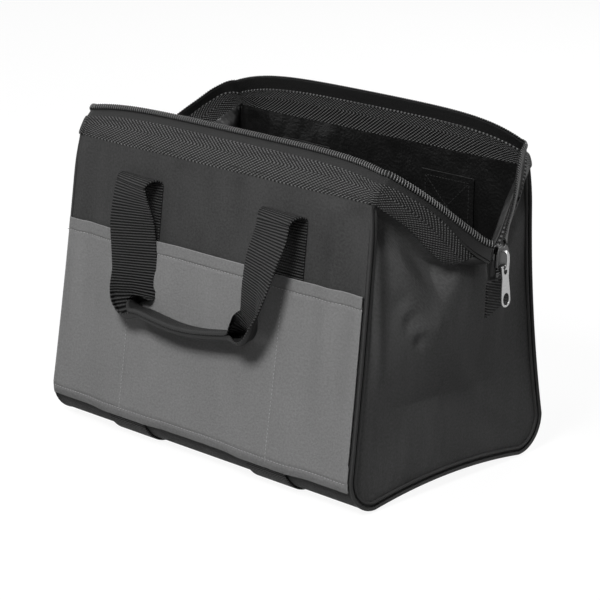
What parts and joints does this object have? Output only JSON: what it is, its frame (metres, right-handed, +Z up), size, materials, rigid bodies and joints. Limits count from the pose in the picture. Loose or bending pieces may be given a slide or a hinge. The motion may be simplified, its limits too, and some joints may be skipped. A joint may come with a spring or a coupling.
{
  "type": "zippered tool bag",
  "caption": "Wide-mouth fabric tool bag with an outer pocket on each wall, webbing loop handles, and an open zip that dips over both ends to a slider.",
  "frame": {"origin": "middle of the bag's footprint on the surface it stands on", "axes": "+X along the bag towards the parked slider, the front wall with the parked handle faces -Y, +Z up"},
  "size_m": [0.3903, 0.2501, 0.2551],
  "materials": {
    "black_fabric": "coated black plain weave, faint sheen",
    "end_fabric": "coated black plain weave, faint sheen",
    "grey_fabric": "matte grey plain weave",
    "webbing": "ribbed black webbing",
    "herringbone": "black webbing with a herringbone weave",
    "zip_tape": "fine black zip tape",
    "zip_coil": "black nylon coil, half gloss",
    "slider_metal": "nickel-plated casting, satin",
    "board": "black plastic sheet"
  },
  "bodies": {
    "shell": {"base_panel": "black_fabric", "base_board": "board", "left_base_strap": "webbing", "right_base_strap": "webbing", "right_end_panel": "end_fabric", "right_piping": "end_fabric", "right_front_band": "herringbone", "right_front_tape": "zip_tape", "right_front_coil": "zip_coil", "right_rear_band": "herringbone", "right_rear_tape": "zip_tape", "right_rear_coil": "zip_coil", "right_closed_chain": "zip_coil", "right_tail_tape": "zip_tape", "right_zip_stop": "zip_coil", "left_end_panel": "end_fabric", "left_piping": "end_fabric", "left_front_band": "herringbone", "left_front_tape": "zip_tape", "left_front_coil": "zip_coil", "left_rear_band": "herringbone", "left_rear_tape": "zip_tape", "left_rear_coil": "zip_coil", "left_closed_chain": "zip_coil", "left_tail_tape": "zip_tape", "left_zip_stop": "zip_coil"},
    "front_wall": {"front_panel": "black_fabric", "front_pocket": "grey_fabric", "front_left_strap": "webbing", "front_right_strap": "webbing", "front_left_patch": "black_fabric", "front_right_patch": "black_fabric", "front_band": "herringbone", "front_tape": "zip_tape", "front_coil": "zip_coil"},
    "rear_wall": {"rear_panel": "black_fabric", "rear_pocket": "grey_fabric", "rear_left_strap": "webbing", "rear_right_strap": "webbing", "rear_left_patch": "black_fabric", "rear_right_patch": "black_fabric", "rear_band": "herringbone", "rear_tape": "zip_tape", "rear_coil": "zip_coil"},
    "front_handle": {"front_handle": "webbing"},
    "rear_handle": {"rear_handle": "webbing"},
    "slider": {"zipper_slider": "slider_metal"},
    "pull": {"zipper_pull": "slider_metal"},
    "right_tab": {"right_tab": "herringbone"},
    "left_tab": {"left_tab": "herringbone"}
  },
  "joints": [
    {"name": "front_wall_lean", "type": "hinge", "parent": "shell", "child": "front_wall", "pos_m": [0, -0.10463, 0.01638], "axis": [1, 0, 0], "range_deg": [0, 15]},
    {"name": "rear_wall_lean", "type": "hinge", "parent": "shell", "child": "rear_wall", "pos_m": [0, 0.10463, 0.01638], "axis": [-1, 0, 0], "range_deg": [0, 15]},
    {"name": "front_handle_swing", "type": "hinge", "parent": "front_wall", "child": "front_handle", "pos_m": [0, -0.1059, 0.19885], "axis": [-1, 0, 0], "range_deg": [0, 160]},
    {"name": "rear_handle_swing", "type": "hinge", "parent": "rear_wall", "child": "rear_handle", "pos_m": [0, 0.10404, 0.19885], "axis": [1, 0, 0], "range_deg": [0, 160]},
    {"name": "slider_travel", "type": "slide", "parent": "shell", "child": "slider", "axis": [0, 0, -1], "range_m": [0, 0.004]},
    {"name": "pull_swing", "type": "hinge", "parent": "slider", "child": "pull", "pos_m": [0.19471, 0, 0.17199], "axis": [0, -1, 0], "range_deg": [0, 130]},
    {"name": "right_tab_swing", "type": "hinge", "parent": "shell", "child": "right_tab", "pos_m": [0.19, 0, 0.1612], "axis": [0, -1, 0], "range_deg": [-20, 6]},
    {"name": "left_tab_swing", "type": "hinge", "parent": "shell", "child": "left_tab", "pos_m": [-0.19, 0, 0.1612], "axis": [0, 1, 0], "range_deg": [-20, 60]}
  ]
}
